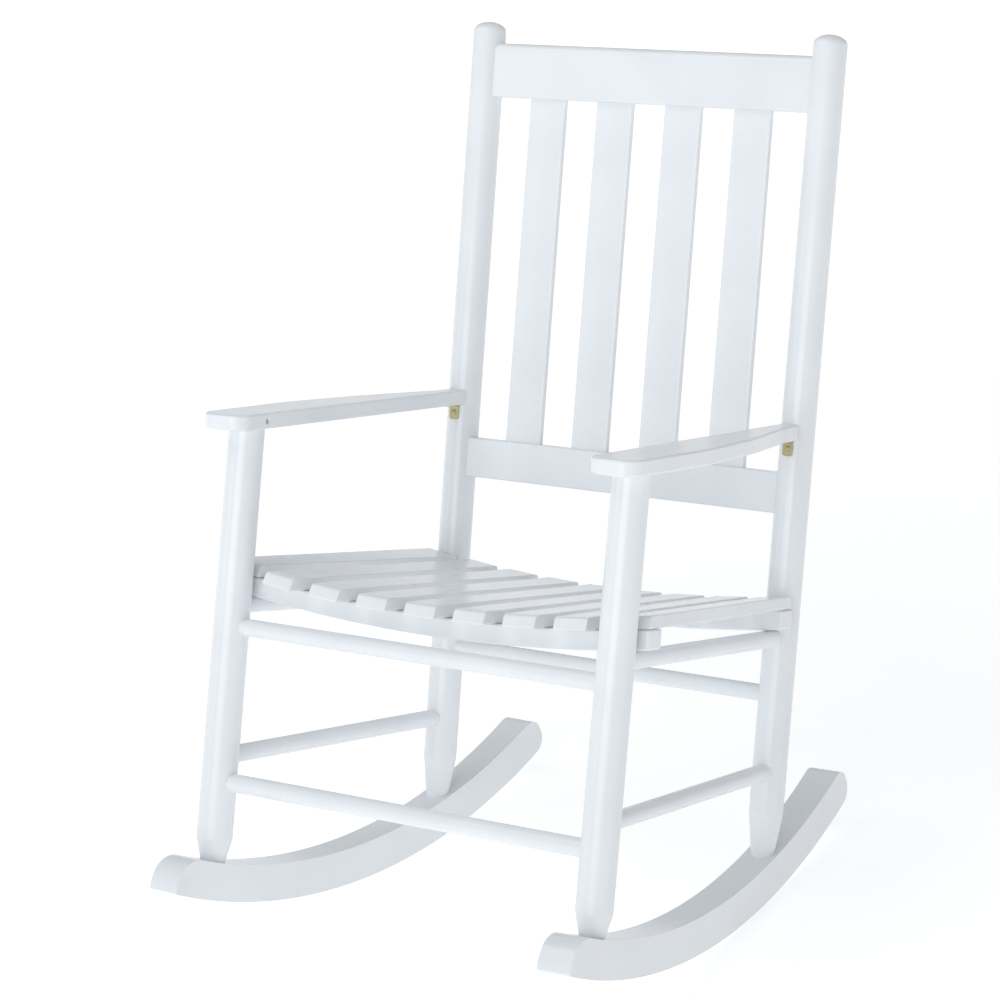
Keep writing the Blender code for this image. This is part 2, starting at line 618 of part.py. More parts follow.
def make_bracket(side, word, arm, post, kit):
    """Small angle bracket under an arm's rear end, screwed to the arm and to the post."""
    axis = back_axis(side, ARM_HEIGHT)
    up = (back_axis(side, 1.0) - back_axis(side, 0.0)).normalized()
    up.x = 0
    up.normalize()
    face = axis.y - BACK_POST_RADIUS / math.cos(BACK_POST_LEAN) - GAP
    corner = arm_point(axis.x, face, -GAP)
    corner.y += (corner.z - ARM_HEIGHT) * math.tan(BACK_POST_LEAN)
    forward = Vector((0, -math.cos(ARM_RISE), -math.sin(ARM_RISE)))
    normal = Vector((0, -up.z, up.y))
    below = Vector((0, forward.z, -forward.y)) * -1
    inside = normal * BRACKET_SHEET + below * BRACKET_SHEET
    path = [Vector((0, 0, 0)), forward * BRACKET_LEG, forward * BRACKET_LEG + below * BRACKET_SHEET, inside,
            normal * BRACKET_SHEET - up * BRACKET_LEG, -up * BRACKET_LEG]
    outline = [(p.y, p.z) for p in path]
    bracket = board("arm_bracket_" + word, outline, BRACKET_WIDTH, kit, ease=0.0)
    set_axes(bracket, corner, (0, 1, 0), (0, 0, 1))
    bracket.data.materials.clear()
    bracket.data.materials.append(kit["brass"])
    arm_head = corner + forward * 0.012 + below * (BRACKET_SHEET + 0.0012 + GAP)
    fasten(f"bracket_arm_screw_{word}", arm_head, arm_head - below * 0.014, 0.0016, 0.0034, 0.0012,
           (bracket, arm), kit)
    post_head = corner - up * 0.0105 + normal * (BRACKET_SHEET + 0.0012 + GAP)
    fasten(f"bracket_post_screw_{word}", post_head, post_head - normal * 0.016, 0.0016, 0.0034, 0.0012,
           (bracket, post), kit)


def make_rocker_screws(side, word, posts, rocker, kit):
    """Long screw up through the rocker into each foot, with its head sunk in the rolling edge."""
    for place, axis in (("front", front_axis), ("back", back_axis)):
        foot = axis(side, foot_height(axis, side))
        up = (axis(side, 1.0) - axis(side, 0.0)).normalized()
        head = foot - up * (ROCKER_DEPTH - 0.007)
        tip = foot + up * 0.014
        fasten(f"rocker_screw_{place}_{word}", head, tip, 0.0022, 0.0046, 0.003,
               (rocker, posts[f"{place}_{word}"]), kit, material="steel")


def make_seat_screws(side, word, stretcher, aprons, kit):
    """Screws up through an upper side stretcher into both aprons."""
    ends = (front_axis(side, SEAT_HEIGHT), back_axis(side, SEAT_HEIGHT))
    for place, apron, along, pitch in (("front", aprons[0], 0.0, SLAT_PITCH_FRONT),
                                       ("rear", aprons[1], seat_depth(), SLAT_PITCH_REAR)):
        post = abs(ends[0].x) if place == "front" else abs(ends[1].x)
        y = seat_point(0, along, 0).y
        share = (y - ends[0].y) / (ends[1].y - ends[0].y)
        x = side * (abs(ends[0].x) + share * (abs(ends[1].x) - abs(ends[0].x)))
        top = seat_point(x, along, dish_at(pitch) * post ** 2)
        axis_z = side_upper_height(front_axis if place == "front" else back_axis, pitch, along)
        head = Vector((x, y, axis_z - SIDE_UPPER_RADIUS + 0.0022))
        tip = Vector((x, y, top.z - 0.008))
        fasten(f"seat_screw_{place}_{word}", head, tip, 0.0018, 0.0036, 0.0022, (stretcher, apron), kit,
               material="steel")


def rest_transform():
    """Roll the chair back around its rockers' centre and centre its box on the origin."""
    tail_angle = ROCKER_TAIL_ANGLE - REST_LEAN
    nose = ROCKER_RADIUS * math.sin(ROCKER_NOSE_ANGLE + REST_LEAN)
    tail = (ROCKER_RADIUS - TAIL_ROUND) * math.sin(tail_angle) + TAIL_ROUND * (1 - math.cos(tail_angle))
    crown = back_axis(1, BACK_POST_TOP - POST_DOME) - Vector((0, ROCKER_CENTRE_Y, ROCKER_RADIUS))
    crown_reach = (crown.y * math.cos(REST_LEAN) + crown.z * math.sin(REST_LEAN)
                   + BACK_POST_RADIUS * math.cos(REST_LEAN + BACK_POST_LEAN))
    middle = (max(tail, crown_reach) - nose) / 2
    centre = Vector((0, ROCKER_CENTRE_Y, ROCKER_RADIUS))
    turn = Matrix.Rotation(-REST_LEAN, 4, "X")
    return Matrix.Translation((0, -middle, ROCKER_RADIUS)) @ turn @ Matrix.Translation(-centre)


def build():
    for obj in list(bpy.data.objects):
        bpy.data.objects.remove(obj, do_unlink=True)
    parts = bpy.data.collections.new("rocking_chair")
    cutters = bpy.data.collections.new("cutters")
    bpy.context.scene.collection.children.link(parts)
    bpy.context.scene.collection.children.link(cutters)
    chair = add_object("chair_frame", None, parts, None)
    chair.matrix_world = rest_transform()
    back = add_object("back_frame", None, parts, chair)
    back.location = (0, BACK_POST_Y, 0)
    back.rotation_euler = (-BACK_POST_LEAN, 0, 0)
    kit = {"parts": parts, "cutters": cutters, "chair": chair, "back": back,
           "paint": make_material("white_paint", WHITE_PAINT, 0.35, 0.0),
           "brass": make_material("brass", BRASS, 0.35, 1.0),
           "steel": make_material("screw_steel", STEEL, 0.4, 1.0)}

    posts, rockers = {}, {}
    for side, word in ((-1, "left"), (1, "right")):
        rockers[side] = make_rocker(side, "rocker_" + word, kit)
        posts["front_" + word] = make_front_post(side, "front_post_" + word, rockers[side], kit)
        posts["back_" + word] = make_back_post(side, "back_post_" + word, rockers[side], kit)
    uppers = make_stretchers(posts, kit)
    aprons = (make_apron("seat_apron_front", 0.0, SLAT_PITCH_FRONT, kit),
              make_apron("seat_apron_rear", seat_depth(), SLAT_PITCH_REAR, kit))
    for index in range(SLAT_COUNT):
        make_seat_slat(index, kit)
    rails = (make_rail("back_rail_lower", BOTTOM_RAIL_LOW, BOTTOM_RAIL_HIGH, RAIL_EDGE_ROUND, posts, kit),
             make_rail("back_rail_upper", TOP_RAIL_LOW, TOP_RAIL_HIGH, RAIL_TOP_ROUND, posts, kit))
    make_back_slats(rails, kit)
    for side, word in ((-1, "left"), (1, "right")):
        make_arm(side, word, posts, kit)
        make_rocker_screws(side, word, posts, rockers[side], kit)
        make_seat_screws(side, word, uppers[side], aprons, kit)


build()
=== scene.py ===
import math

import bmesh
import bpy
from bpy.props import FloatProperty, FloatVectorProperty, IntProperty, PointerProperty
from mathutils import Matrix, Vector


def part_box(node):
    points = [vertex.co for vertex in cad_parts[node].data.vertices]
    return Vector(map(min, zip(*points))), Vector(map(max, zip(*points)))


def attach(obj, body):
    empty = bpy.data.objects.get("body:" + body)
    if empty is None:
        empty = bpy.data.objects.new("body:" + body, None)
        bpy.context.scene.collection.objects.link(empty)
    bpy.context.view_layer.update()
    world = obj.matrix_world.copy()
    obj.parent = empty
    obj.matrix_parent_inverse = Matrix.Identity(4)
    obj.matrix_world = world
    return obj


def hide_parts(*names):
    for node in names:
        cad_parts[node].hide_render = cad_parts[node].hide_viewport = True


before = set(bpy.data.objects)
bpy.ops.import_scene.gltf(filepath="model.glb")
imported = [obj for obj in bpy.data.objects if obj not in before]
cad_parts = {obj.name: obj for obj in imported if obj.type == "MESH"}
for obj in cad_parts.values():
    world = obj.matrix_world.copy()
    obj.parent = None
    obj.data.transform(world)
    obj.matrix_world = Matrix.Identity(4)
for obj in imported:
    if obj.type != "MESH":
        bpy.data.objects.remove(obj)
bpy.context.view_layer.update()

bl_info = {
    "name": "Porch Rocking Chair",
    "version": (1, 0, 0),
    "blender": (4, 5, 0),
    "location": "View3D > Sidebar > Chair",
    "description": "Builds the painted wood, the fittings and the studio of a slat-back rocking chair",
    "category": "Add Mesh",
}

SIDES = ((-1, "left"), (1, "right"))

# ---- how the whole chair stands ----
REST_LEAN = math.radians(15.05)     # the level chair is rolled back by this on its rockers

# ---- places and sizes of the pieces, in the level chair's frame, in metres ----
ROCKER_CENTRE_Y = -0.280
NOSE_ANGLE = math.radians(17.3)     # rocker ends, from straight under its centre
TAIL_ANGLE = math.radians(32.6)
NOSE_ROUND = 0.036
TAIL_ROUND = 0.020
ROCKER_STEPS = 96
FRONT_POST_Y = -0.460
FRONT_POST_LEAN = math.radians(4.12)
BACK_POST_Y = -0.0110
BACK_POST_LEAN = math.radians(3.14)
BACK_POST_SPLAY = math.radians(0.27)
FOOT_RADIUS = 0.0156
FRONT_FOOT_TAPER = 0.030
BACK_FOOT_TAPER = 0.052
FOOT_SHOULDER_ROUND = 0.022
FOOT_SOCKET = 0.010                 # depth of the feet in the rockers
POST_DOME = 0.013
FRONT_POST_LET_IN = 0.004           # of the front posts' tops in the arms
FRONT_LOWER_HEIGHT = 0.1691
REAR_RUNG_HEIGHT = 0.2975
SIDE_LOWER_HEIGHT = 0.1998
RUNG_SIDES = 56
FRONT_UPPER_DROP = 0.0431           # of the upper front rung below the seat slats
SEAT_PITCH = math.radians(2.45)
SEAT_DISH = 0.22                    # rise over the square of the distance from the middle
SLAT_COUNT = 9
SLAT_OVERHANG = 0.0277              # in front of the front apron
SLAT_TAIL = 0.0045                  # behind the rear apron
SLAT_NOSE_SLANT = 0.006
OUTER_SLAT_OFFSET = 0.0035          # of the outer slats' middles outside the posts' axes
APRON_DEPTH = 0.025
APRON_THICKNESS = 0.030
APRON_OVERRUN = 0.0015
APRON_STEPS = 36
CLEARANCE = 0.0003
ARM_RISE = math.radians(1.2)
ARM_INNER = 0.0323                  # inner and outer edges, from the front post's axis
ARM_OUTER = 0.0353
ARM_WAIST = 0.0183
ARM_REAR_INNER = 0.0105             # and from the back post's
ARM_REAR_OUTER = 0.0160
ARM_OUTER_STRAIGHT = 0.120
ARM_WAIST_BACK = 0.250
ARM_LAP = 0.009                     # of the rear end past the back post's front
RAILS = {                           # lowest and highest edge, rounding of the top edge
    "back_rail_lower": (0.5305, 0.5834, 0.003),
    "back_rail_upper": (1.0415, 1.1137, 0.010),
}
BACK_SLAT_COUNT = 4
BACK_SLAT_SHARE = 0.205             # from slat to slat, as a share of the back posts' spread
TENON = 0.010                       # how far rungs and slats run into the pieces that hold them
BRACKET_WIDTH = 0.014
BRACKET_LEG = 0.020
BRACKET_SHEET = 0.002
BRACKET_CORNER = 0.0035
SCREWS = {                          # head radius, head height, shank radius
    "rocker": (0.0046, 0.0030, 0.0022),
    "seat": (0.0036, 0.0022, 0.0018),
    "arm": (0.0029, 0.0018, 0.0016),
    "bracket": (0.0034, 0.0012, 0.0016),
    "pin": (0.0019, 0.0009, 0.0011),
}
BORES = {"rocker": 0.0049, "seat": 0.0039, "arm": 0.0030}


class ChairSizes(bpy.types.PropertyGroup):
    """Sizes of the chair's pieces."""
    rocker_radius: FloatProperty(name="Rocker radius", description="Radius of the rolling edge",
                                 default=0.899, unit="LENGTH")
    rocker_depth: FloatProperty(name="Rocker depth", description="From the rolling edge to the top edge",
                                default=0.048, unit="LENGTH")
    rocker_thickness: FloatProperty(name="Rocker thickness", description="Across each rocker",
                                    default=0.045, unit="LENGTH")
    front_post_radius: FloatProperty(name="Front post radius", description="Radius of the front posts",
                                     default=0.0229, unit="LENGTH")
    front_post_spread: FloatProperty(name="Front post spread", description="Between the front posts' axes",
                                     default=0.5735, unit="LENGTH")
    back_post_radius: FloatProperty(name="Back post radius", description="Radius of the back posts",
                                    default=0.0221, unit="LENGTH")
    back_post_spread: FloatProperty(name="Back post spread", description="Between the back posts' axes",
                                    default=0.512, unit="LENGTH")
    back_post_top: FloatProperty(name="Back post top", description="Height of the back posts' domes",
                                 default=1.140, unit="LENGTH")
    rung_radius: FloatProperty(name="Rung radius", description="Radius of the rungs between the posts",
                               default=0.0114, unit="LENGTH")
    seat_height: FloatProperty(name="Seat height", description="Underside of the middle slat in front",
                               default=0.4098, unit="LENGTH")
    slat_width: FloatProperty(name="Seat slat width", description="Across each seat slat",
                              default=0.046, unit="LENGTH")
    slat_thickness: FloatProperty(name="Seat slat thickness", description="Thickness of the seat slats",
                                  default=0.016, unit="LENGTH")
    back_slat_width: FloatProperty(name="Back slat width", description="Across each back slat",
                                   default=0.056, unit="LENGTH")
    back_slat_thickness: FloatProperty(name="Back slat thickness", description="Thickness of the back slats",
                                       default=0.009, unit="LENGTH")
    rail_thickness: FloatProperty(name="Rail thickness", description="Thickness of the two back rails",
                                  default=0.024, unit="LENGTH")
    arm_height: FloatProperty(name="Arm height", description="Underside of the arms over the front posts",
                              default=0.618, unit="LENGTH")
    arm_thickness: FloatProperty(name="Arm thickness", description="Thickness of the arms",
                                 default=0.020, unit="LENGTH")
    arm_overhang: FloatProperty(name="Arm overhang", description="Of the arms in front of the posts' axes",
                                default=0.056, unit="LENGTH")
    turning_sides: IntProperty(name="Turning steps", description="Steps round each turned piece",
                               default=72, min=24)


class ChairFinish(bpy.types.PropertyGroup):
    """Colours and surface values of the paint and the fittings."""
    paint: FloatVectorProperty(name="Paint", description="Colour of the paint", subtype="COLOR", size=4,
                               default=(0.825, 0.85, 0.875, 1.0), min=0.0, max=1.0)
    paint_deep: FloatVectorProperty(name="Paint in hollows", description="Colour where the paint lies thin",
                                    subtype="COLOR", size=4, default=(0.79, 0.815, 0.845, 1.0), min=0.0, max=1.0)
    brass: FloatVectorProperty(name="Brass", description="Colour of the plated brackets", subtype="COLOR",
                               size=4, default=(0.66, 0.59, 0.34, 1.0), min=0.0, max=1.0)
    steel: FloatVectorProperty(name="Steel", description="Colour of the screws", subtype="COLOR", size=4,
                               default=(0.45, 0.44, 0.42, 1.0), min=0.0, max=1.0)
    paint_roughness: FloatProperty(name="Paint roughness", description="Gloss of the paint, 0 is a mirror",
                                   default=0.24, min=0.05, max=1.0)
    film_depth: FloatProperty(name="Paint texture depth", description="Height of the grain under the paint",
                              default=0.00012, unit="LENGTH")


# ---- where the pieces meet ----
def sizes():
    return bpy.context.scene.chair_sizes


def chair_matrix():
    """From the level chair's frame to the chair as it stands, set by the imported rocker's nose."""
    s = sizes()
    nose_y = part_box("rocker_left")[0].y
    centre_y = nose_y + s.rocker_radius * math.sin(NOSE_ANGLE + REST_LEAN)
    to_centre = Matrix.Translation((0, -ROCKER_CENTRE_Y, -s.rocker_radius))
    return Matrix.Translation((0, centre_y, s.rocker_radius)) @ Matrix.Rotation(-REST_LEAN, 4, "X") @ to_centre


def front_axis(side, height):
    reach = sizes().front_post_spread / 2
    return Vector((side * reach, FRONT_POST_Y + height * math.tan(FRONT_POST_LEAN), height))


def back_axis(side, height):
    reach = sizes().back_post_spread / 2 + height * math.tan(BACK_POST_SPLAY)
    return Vector((side * reach, BACK_POST_Y + height * math.tan(BACK_POST_LEAN), height))


def along(axis, side=1):
    """Direction of a post, upwards."""
    return (axis(side, 1.0) - axis(side, 0.0)).normalized()


def foot_height(axis, side):
    """Height at which a post's axis meets the top edge of its rocker."""
    s = sizes()
    radius = s.rocker_radius - s.rocker_depth
    height = 0.08                   # a first guess
    for _ in range(8):
        height = s.rocker_radius - math.sqrt(radius ** 2 - (axis(side, height).y - ROCKER_CENTRE_Y) ** 2)
    return height


def slat_pitch(place):
    s = sizes()
    if place == "front":
        return (s.front_post_spread + 2 * OUTER_SLAT_OFFSET) / (SLAT_COUNT - 1)
    spread = s.back_post_spread + 2 * s.seat_height * math.tan(BACK_POST_SPLAY)
    return (spread + 2 * OUTER_SLAT_OFFSET) / (SLAT_COUNT - 1)


def slat_x(index, place):
    """Distance of a seat slat's middle from the chair's middle, at the front or the rear apron."""
    return (index - (SLAT_COUNT - 1) / 2) * slat_pitch(place)


def dish(place):
    """The seat's dish at an apron, so that each slat rests as high on both."""
    return SEAT_DISH * slat_pitch("front") / slat_pitch(place)


def seat_origin():
    s = sizes()
    post = front_axis(1, s.seat_height + 0.02)
    return Vector((0, post.y + s.front_post_radius + CLEARANCE + APRON_THICKNESS / 2, s.seat_height))


def seat_point(x, back, above):
    """A place in the pitched seat, from the front apron's middle."""
    return seat_origin() + Matrix.Rotation(-SEAT_PITCH, 3, "X") @ Vector((x, back, above))


def seat_depth():
    """From the front apron's middle to the rear apron's, whose back stands against the back posts."""
    s = sizes()
    depth = 0.35                    # a first guess
    for _ in range(4):
        heel = seat_point(0, depth + APRON_THICKNESS / 2, -APRON_DEPTH)
        post_front = back_axis(1, heel.z).y - s.back_post_radius / math.cos(BACK_POST_LEAN)
        depth += post_front - CLEARANCE - heel.y
    return depth


def side_rung_height(axis, place, back):
    """Height of an upper side rung, at a post, that carries the apron above it."""
    x = abs(axis(1, sizes().seat_height).x)
    bank = math.atan(2 * dish(place) * x)
    under = seat_point(x, back, dish(place) * x ** 2 - APRON_DEPTH)
    return under.z - (sizes().rung_radius + 2 * CLEARANCE) / math.cos(bank)


def arm_point(x, y, above=0.0):
    start = front_axis(1, sizes().arm_height).y
    return Vector((x, y, sizes().arm_height + (y - start) * math.tan(ARM_RISE) + above))


# ---- shapes ----
SHARP = math.radians(40)            # edges sharper than this stay sharp in the shading
WELD = 0.00001                      # points closer than this are one


def rounded(corners, steps=10):
    """Outline through (x, y, radius) corners, each turned into an arc of its own radius."""
    points = []
    for i, (x, y, radius) in enumerate(corners):
        here = Vector((x, y))
        if radius == 0:
            points.append(here)
            continue
        to_last = (Vector(corners[i - 1][:2]) - here).normalized()
        to_next = (Vector(corners[(i + 1) % len(corners)][:2]) - here).normalized()
        half = to_last.angle(to_next) / 2
        middle = here + (to_last + to_next).normalized() * radius / math.sin(half)
        first = here + to_last * radius / math.tan(half) - middle
        last = here + to_next * radius / math.tan(half) - middle
        sweep = first.angle_signed(last)
        for step in range(steps + 1):
            points.append(middle + Matrix.Rotation(-sweep * step / steps, 2) @ first)
    return points


def arc(radius, start, end, steps):
    """Points of an arc around the origin; angles are from straight down, towards +X."""
    angles = [start + (end - start) * i / steps for i in range(steps + 1)]
    return [(radius * math.sin(a), -radius * math.cos(a)) for a in angles]


def rectangle(width, height, top_round, low_round):
    w, h = width / 2, height / 2
    return [(-w, -h, low_round), (w, -h, low_round), (w, h, top_round), (-w, h, top_round)]


def add_piece(name, shape, material):
    """Object of a finished bmesh, shaded smooth, in the scene."""
    mesh = bpy.data.meshes.new(name)
    shape.to_mesh(mesh)
    shape.free()
    mesh.materials.append(bpy.data.materials[material])
    mesh.shade_smooth()
    piece = bpy.data.objects.new(name, mesh)
    bpy.context.scene.collection.objects.link(piece)
    return piece


def ease_edges(piece, width, segments=4, angle=SHARP):
    """Round every edge sharper than the angle, and keep the flats flat in the shading."""
    bevel = piece.modifiers.new("eased_edges", "BEVEL")
    bevel.width = width
    bevel.segments = segments
    bevel.limit_method = "ANGLE"
    bevel.angle_limit = angle
    bevel.harden_normals = True
    bevel.use_clamp_overlap = True


def board(name, outline, thickness, material, ease):
    """Flat outline in local XY, thickened along local Z, with eased edges."""
    points = []
    for x, y in outline:
        if not points or (Vector((x, y)) - points[-1]).length > WELD:
            points.append(Vector((x, y)))
    if (points[0] - points[-1]).length < WELD:
        points.pop()
    shape = bmesh.new()
    low = [shape.verts.new((p.x, p.y, -thickness / 2)) for p in points]
    grown = bmesh.ops.extrude_face_region(shape, geom=[shape.faces.new(low)])
    top = [v for v in grown["geom"] if isinstance(v, bmesh.types.BMVert)]
    bmesh.ops.translate(shape, vec=(0, 0, thickness), verts=top)
    bmesh.ops.recalc_face_normals(shape, faces=shape.faces)
    piece = add_piece(name, shape, material)
    ease_edges(piece, ease)
    return piece


def turned(name, profile, material, steps=None):
    """Solid turned round local Z from (radius, height) points."""
    shape = bmesh.new()
    verts = [shape.verts.new((radius, 0, height)) for radius, height in profile]
    edges = [shape.edges.new(pair) for pair in zip(verts, verts[1:])]
    bmesh.ops.spin(shape, geom=verts + edges, axis=(0, 0, 1), cent=(0, 0, 0), angle=2 * math.pi,
                   steps=steps or sizes().turning_sides, use_duplicate=False)
    bmesh.ops.remove_doubles(shape, verts=shape.verts, dist=WELD / 2)
    bmesh.ops.recalc_face_normals(shape, faces=shape.faces)
    piece = add_piece(name, shape, material)
    piece.data.set_sharp_from_angle(angle=SHARP)
    return piece


def from_axes(origin, x_axis, y_axis):
    """Matrix with its X and Y along two directions, at a place."""
    x_axis = Vector(x_axis).normalized()
    z_axis = x_axis.cross(Vector(y_axis)).normalized()
    turn = Matrix((x_axis, z_axis.cross(x_axis), z_axis)).transposed().to_4x4()
    return Matrix.Translation(origin) @ turn


def from_ends(start, end):
    """Matrix at start with its Z towards end."""
    turn = (Vector(end) - Vector(start)).to_track_quat("Z", "Y").to_matrix().to_4x4()
    return Matrix.Translation(start) @ turn


def fit(piece, matrix, node):
    """Stand a piece in the chair in place of its CAD node."""
    piece.matrix_world = chair_matrix() @ matrix
    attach(piece, "root")
    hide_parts(node)
    return piece


def bore(piece, *holes):
    """Round holes, each (start, end, radius) in the level chair's frame, cut before the edges are eased."""
    shape = bmesh.new()
    for start, end, radius in holes:
        length = (end - start).length
        drill = bmesh.ops.create_cone(shape, cap_ends=True, segments=32, radius1=radius, radius2=radius,
                                      depth=length)["verts"]
        bmesh.ops.transform(shape, matrix=from_ends((start + end) / 2, end), verts=drill)
    cut_out(piece, shape, chair_matrix())


def cut_out(piece, shape, matrix):
    """Take a bmesh's solids out of a piece."""
    mesh = bpy.data.meshes.new("cutter")
    shape.to_mesh(mesh)
    shape.free()
    mesh.materials.append(piece.data.materials[0])
    mesh.shade_smooth()
    cutter = bpy.data.objects.new("cutter", mesh)
    bpy.context.scene.collection.objects.link(cutter)
    cutter.matrix_world = matrix
    cut = piece.modifiers.new("cut_out", "BOOLEAN")
    cut.operation = "DIFFERENCE"
    cut.solver = "EXACT"
    cut.use_self = True
    cut.object = cutter
    piece.modifiers.move(len(piece.modifiers) - 1, 0)
    eased = len(piece.modifiers) > 1
    bake_modifiers(piece)
    if not eased:
        piece.data.set_sharp_from_angle(angle=SHARP)
    bpy.data.objects.remove(cutter)
    bpy.data.meshes.remove(mesh)


def bake_modifiers(piece):
    """Turn a piece's modifiers into its own mesh."""
    bpy.context.view_layer.update()
    view = bpy.context.evaluated_depsgraph_get()
    mesh = bpy.data.meshes.new_from_object(piece.evaluated_get(view))
    piece.modifiers.clear()
    piece.data = mesh
    mesh.name = piece.name


# ---- materials ----
def node_chain(tree):
    """Short helpers that add a node or link two sockets in a tree."""
    def add(kind, **values):
        node = tree.nodes.new(kind)
        for key, value in values.items():
            setattr(node, key, value)
        return node
    return add, tree.links.new


def surface_group(name, inputs, outputs):
    """Empty node group with named sockets, and its helpers, entry and exit."""
    group = bpy.data.node_groups.new(name, "ShaderNodeTree")
    for way, sockets in (("INPUT", inputs), ("OUTPUT", outputs)):
        for label, kind in sockets.items():
            group.interface.new_socket(label, in_out=way, socket_type="NodeSocket" + kind)
    add, link = node_chain(group)
    return add, link, add("NodeGroupInput"), add("NodeGroupOutput")


def add_noise(add, scale, detail):
    noise = add("ShaderNodeTexNoise")
    noise.inputs["Scale"].default_value = scale
    noise.inputs["Detail"].default_value = detail
    return noise


def add_scaled(add, link, value, factor, base):
    """Node for value times factor plus base, which is a socket."""
    scaled = add("ShaderNodeMath", operation="MULTIPLY_ADD")
    scaled.inputs[1].default_value = factor
    link(value, scaled.inputs[0])
    link(base, scaled.inputs[2])
    return scaled.outputs["Value"]


def paint_film_group():
    """Surface of brushed paint over wood: cloudy shade, grain that shows through, and fine stipple."""
    add, link, entry, leave = surface_group(
        "paint_film", {"Place": "Vector", "Stretch": "Vector", "Roughness": "Float"},
        {"Tone": "Float", "Gloss": "Float", "Height": "Float"})
    cloud = add_noise(add, 9.0, 3.0)
    link(entry.outputs["Place"], cloud.inputs["Vector"])
    cloud_range = add("ShaderNodeMapRange")
    cloud_range.inputs["From Min"].default_value = 0.35
    cloud_range.inputs["From Max"].default_value = 0.65
    link(cloud.outputs["Fac"], cloud_range.inputs["Value"])
    link(cloud_range.outputs["Result"], leave.inputs["Tone"])

    stretched = add("ShaderNodeVectorMath", operation="MULTIPLY")
    link(entry.outputs["Place"], stretched.inputs[0])
    link(entry.outputs["Stretch"], stretched.inputs[1])
    grain = add_noise(add, 1.0, 5.0)
    grain.inputs["Roughness"].default_value = 0.55
    grain.inputs["Distortion"].default_value = 0.25
    link(stretched.outputs["Vector"], grain.inputs["Vector"])
    stipple = add_noise(add, 620.0, 1.0)
    link(entry.outputs["Place"], stipple.inputs["Vector"])
    link(add_scaled(add, link, stipple.outputs["Fac"], 0.22, grain.outputs["Fac"]), leave.inputs["Height"])
    link(add_scaled(add, link, grain.outputs["Fac"], 0.10, entry.outputs["Roughness"]), leave.inputs["Gloss"])


def fine_scratch_group():
    """Faint scratches and tarnish for the small metal fittings."""
    add, link, entry, leave = surface_group(
        "fine_scratches", {"Place": "Vector", "Roughness": "Float"},
        {"Tone": "Float", "Gloss": "Float", "Height": "Float"})
    tarnish = add_noise(add, 260.0, 4.0)
    link(entry.outputs["Place"], tarnish.inputs["Vector"])
    link(tarnish.outputs["Fac"], leave.inputs["Tone"])
    stretched = add("ShaderNodeVectorMath", operation="MULTIPLY")
    stretched.inputs[1].default_value = (2600.0, 180.0, 180.0)
    link(entry.outputs["Place"], stretched.inputs[0])
    scratch = add_noise(add, 1.0, 2.0)
    link(stretched.outputs["Vector"], scratch.inputs["Vector"])
    link(scratch.outputs["Fac"], leave.inputs["Height"])
    link(add_scaled(add, link, scratch.outputs["Fac"], 0.25, entry.outputs["Roughness"]), leave.inputs["Gloss"])


def textured_material(name, group, settings, low_tone, high_tone, relief, relief_depth):
    """Material whose colour, gloss and relief come from a surface group; gives back its shader."""
    material = bpy.data.materials.new(name)
    material.use_nodes = True
    add, link = node_chain(material.node_tree)
    shader = material.node_tree.nodes["Principled BSDF"]
    surface = add("ShaderNodeGroup", node_tree=bpy.data.node_groups[group])
    for label, value in settings.items():
        surface.inputs[label].default_value = value
    place = add("ShaderNodeTexCoord")
    link(place.outputs["Object"], surface.inputs["Place"])
    tone = add("ShaderNodeMix", data_type="RGBA")
    tone.inputs["A"].default_value = low_tone
    tone.inputs["B"].default_value = high_tone
    link(surface.outputs["Tone"], tone.inputs["Factor"])
    link(tone.outputs["Result"], shader.inputs["Base Color"])
    link(surface.outputs["Gloss"], shader.inputs["Roughness"])
    bump = add("ShaderNodeBump")
    bump.inputs["Strength"].default_value = relief
    bump.inputs["Distance"].default_value = relief_depth
    link(surface.outputs["Height"], bump.inputs["Height"])
    link(bump.outputs["Normal"], shader.inputs["Normal"])
    return shader


def paint_material(name, stretch):
    """White gloss paint whose grain runs along the axis with the smallest stretch."""
    finish = bpy.context.scene.chair_finish
    settings = {"Stretch": stretch, "Roughness": finish.paint_roughness - 0.05}
    shader = textured_material(name, "paint_film", settings, finish.paint_deep, finish.paint, 0.5,
                               finish.film_depth)
    shader.inputs["IOR"].default_value = 1.5


def metal_material(name, colour, roughness):
    """Metal with tarnish in a darker tone of its own colour."""
    tarnished = [0.62 * c for c in colour[:3]] + [1.0]
    shader = textured_material(name, "fine_scratches", {"Roughness": roughness}, tarnished, colour, 0.3,
                               0.00004)
    shader.inputs["Metallic"].default_value = 1.0


def floor_material():
    """Pale floor that glows a little, and more towards its far edges, so that it is evenly light."""
    material = bpy.data.materials.new("studio_floor")
    material.use_nodes = True
    add, link = node_chain(material.node_tree)
    shader = material.node_tree.nodes["Principled BSDF"]
    shader.inputs["Specular IOR Level"].default_value = 0.1
    shader.inputs["Emission Strength"].default_value = 1.0
    shader.inputs["Roughness"].default_value = 0.8
    tone = add("ShaderNodeMix", data_type="RGBA")
    tone.inputs["A"].default_value = (0.90, 0.90, 0.90, 1.0)
    tone.inputs["B"].default_value = (0.93, 0.93, 0.93, 1.0)
    link(add_noise(add, 3.0, 2.0).outputs["Fac"], tone.inputs["Factor"])
    link(tone.outputs["Result"], shader.inputs["Base Color"])
    place = add("ShaderNodeTexCoord")
    reach = add("ShaderNodeVectorMath", operation="LENGTH")
    link(place.outputs["Object"], reach.inputs[0])
    glow = add("ShaderNodeMapRange")
    for label, value in (("From Min", 1.0), ("From Max", 5.0), ("To Min", 0.41), ("To Max", 0.66)):
        glow.inputs[label].default_value = value
    link(reach.outputs["Value"], glow.inputs["Value"])
    link(glow.outputs["Result"], shader.inputs["Emission Color"])
    return material


